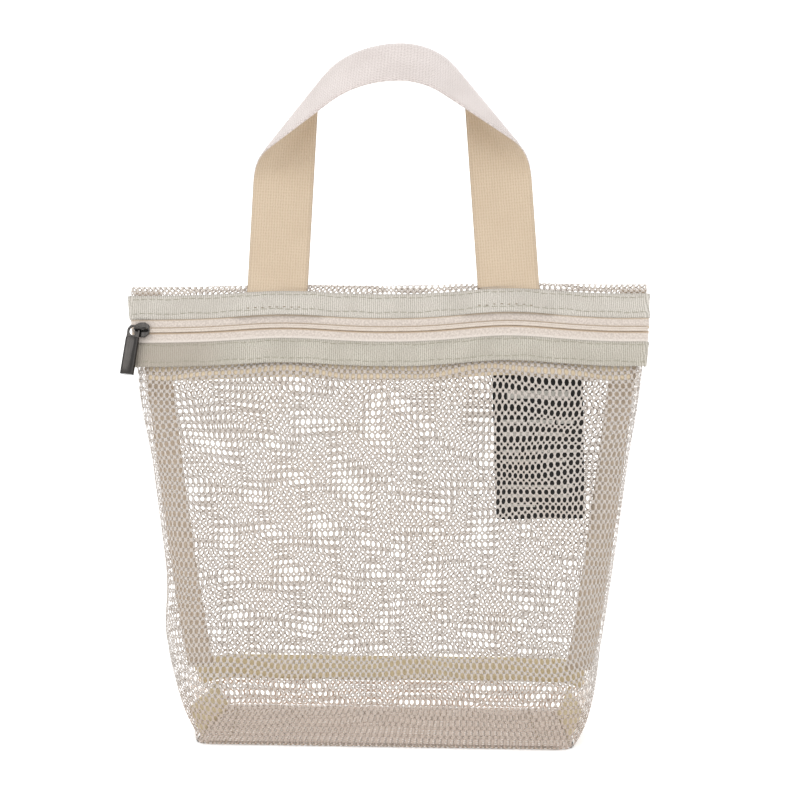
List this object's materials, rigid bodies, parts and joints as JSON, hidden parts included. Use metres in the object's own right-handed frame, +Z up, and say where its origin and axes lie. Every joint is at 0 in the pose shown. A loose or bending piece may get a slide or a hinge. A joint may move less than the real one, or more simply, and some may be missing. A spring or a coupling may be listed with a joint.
{
  "type": "beach bag",
  "caption": "Small zipped beach bag of open net with a boxed bottom, taped top band, a folded webbing handle, a zip slider with a hanging pull and a swing tag inside.",
  "frame": {"origin": "middle of the underside, on the ground", "axes": "+X to the right of someone who faces the zip, -Y the front with the zip, +Z up"},
  "size_m": [0.3042, 0.0958, 0.3871],
  "materials": {
    "net": "coated polyester net, soft sheen",
    "grosgrain": "ribbed woven tape",
    "binding": "plain woven tape",
    "zip_cloth": "fine knitted zip tape",
    "nylon_coil": "satin nylon",
    "webbing": "cotton webbing",
    "gunmetal": "dark plated, polished",
    "card": "matt black card",
    "tag_plastic": "satin plastic thread"
  },
  "bodies": {
    "bag": {"front_panel": "net", "base_panel": "net", "back_panel": "net", "side_binding_left": "binding", "side_binding_right": "binding", "corner_binding_left": "binding", "corner_binding_right": "binding", "bottom_seam_binding": "binding", "facing_tape": "binding", "upper_tape": "grosgrain", "lower_tape": "grosgrain", "zip_tape_upper": "zip_cloth", "zip_tape_lower": "zip_cloth", "zip_coil_upper": "nylon_coil", "zip_coil_lower": "nylon_coil", "handle_end_left": "webbing", "handle_end_right": "webbing", "tag_ring": "tag_plastic"},
    "handle": {"handle": "webbing"},
    "slider": {"slider_body": "gunmetal", "slider_bridge": "gunmetal"},
    "pull": {"pull": "gunmetal"},
    "tag": {"swing_tag": "card"}
  },
  "joints": [
    {"name": "slider_slide", "type": "slide", "parent": "bag", "child": "slider", "axis": [1, 0, 0], "range_m": [0, 0.282]},
    {"name": "pull_swing", "type": "hinge", "parent": "slider", "child": "pull", "pos_m": [-0.1448, -0.01302, 0.22935], "axis": [0, -0.9802, 0.1981], "range_deg": [-95, 14]},
    {"name": "handle_fold", "type": "hinge", "parent": "bag", "child": "handle", "pos_m": [0, -0.00501, 0.253], "axis": [1, 0, 0], "range_deg": [-45, 125], "stiffness_Nm_per_rad": 0.06, "springref_deg": -2.29},
    {"name": "tag_swing", "type": "hinge", "parent": "bag", "child": "tag", "pos_m": [0.088, -0.0074, 0.2043], "axis": [1, 0, 0], "range_deg": [-12, 20]}
  ]
}
